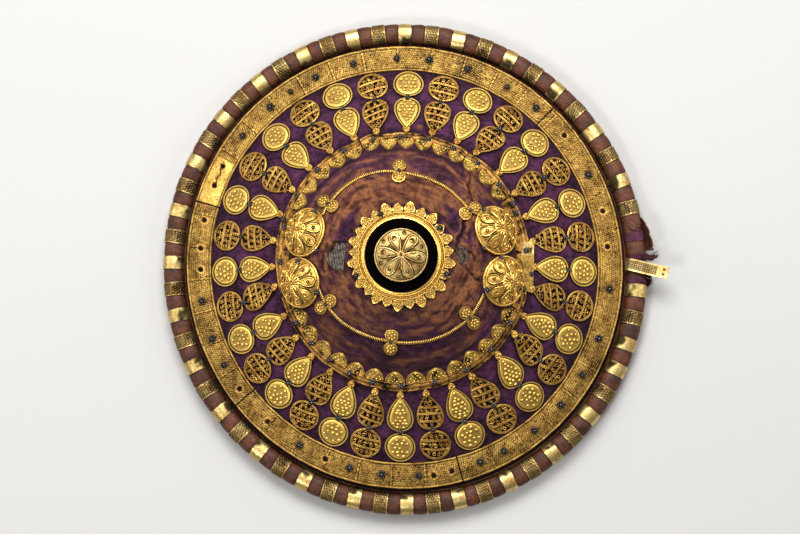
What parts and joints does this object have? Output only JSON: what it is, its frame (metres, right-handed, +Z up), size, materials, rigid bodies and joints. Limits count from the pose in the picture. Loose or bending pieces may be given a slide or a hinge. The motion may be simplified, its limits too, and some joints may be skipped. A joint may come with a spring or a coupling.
{
  "type": "buckler shield",
  "caption": "Round hollow-backed hide shield, velvet covered, with a stepped central boss, gilt filigree pendants, domes, scalloped bands and a banded leather rim roll.",
  "frame": {"origin": "on the floor that the rim rests on, at the centre of the footprint, the sprung rim band included", "axes": "+Z up out of the boss, +X towards the sprung rim band, +Y towards the top of the shield as it is worn"},
  "size_m": [0.5046, 0.4932, 0.1167],
  "materials": {
    "hide": "bare, dry brown hide inside the hollow back",
    "velvet": "worn purple velvet, faded to brown on the shoulder",
    "rim_leather": "creased reddish brown leather",
    "grip_leather": "hand-darkened brown leather",
    "band_gilt": "finely granulated gilt silver with brown tarnish",
    "rail_gilt": "flat orange gilt rail with granulated lobes",
    "filigree_gilt": "pierced gilt wire work, dark in the openings",
    "granulated_gilt": "bright gilt with rounded granules",
    "dome_gilt": "bright gilt, tooled with petal loops",
    "wire_gilt": "milled gilt wire",
    "collar_gilt": "granulated gilt petals",
    "black_stem": "black, nearly matt",
    "rim_gilt": "fine diaper pattern on gilt silver, scuffed"
  },
  "bodies": {
    "root": {"hide_shell": "hide", "velvet_cover": "velvet", "rim_binding": "rim_leather", "broad_band_1": "band_gilt", "broad_band_2": "band_gilt", "broad_band_3": "band_gilt", "broad_band_4": "band_gilt", "scalloped_strip_1": "rail_gilt", "scalloped_strip_2": "rail_gilt", "scalloped_strip_3": "rail_gilt", "scalloped_strip_4": "rail_gilt", "scalloped_strip_5": "rail_gilt", "scalloped_strip_6": "rail_gilt", "scalloped_strip_7": "rail_gilt", "scalloped_strip_8": "rail_gilt", "filigree_pendant_01": "filigree_gilt", "granulated_pendant_02": "granulated_gilt", "filigree_pendant_03": "filigree_gilt", "granulated_pendant_04": "granulated_gilt", "filigree_pendant_05": "filigree_gilt", "granulated_pendant_06": "granulated_gilt", "filigree_pendant_07": "filigree_gilt", "granulated_pendant_08": "granulated_gilt", "filigree_pendant_09": "filigree_gilt", "granulated_pendant_10": "granulated_gilt", "filigree_pendant_11": "filigree_gilt", "granulated_pendant_12": "granulated_gilt", "filigree_pendant_13": "filigree_gilt", "granulated_pendant_14": "granulated_gilt", "filigree_pendant_15": "filigree_gilt", "granulated_pendant_16": "granulated_gilt", "filigree_pendant_17": "filigree_gilt", "granulated_pendant_18": "granulated_gilt", "filigree_pendant_19": "filigree_gilt", "granulated_pendant_20": "granulated_gilt", "filigree_pendant_21": "filigree_gilt", "granulated_pendant_22": "granulated_gilt", "filigree_pendant_23": "filigree_gilt", "granulated_pendant_24": "granulated_gilt", "filigree_pendant_25": "filigree_gilt", "granulated_pendant_26": "granulated_gilt", "filigree_pendant_27": "filigree_gilt", "granulated_pendant_28": "granulated_gilt", "filigree_pendant_29": "filigree_gilt", "granulated_pendant_30": "granulated_gilt", "filigree_pendant_31": "filigree_gilt", "granulated_pendant_32": "granulated_gilt", "dome_1": "dome_gilt", "dome_2": "dome_gilt", "dome_3": "dome_gilt", "dome_4": "dome_gilt", "milled_wire_1": "wire_gilt", "milled_wire_2": "wire_gilt", "sunburst_collar": "collar_gilt", "boss_stem": "black_stem", "boss_cap": "dome_gilt", "hand_grip": "grip_leather", "sprung_rim_band": "rim_gilt"}
  },
  "joints": []
}
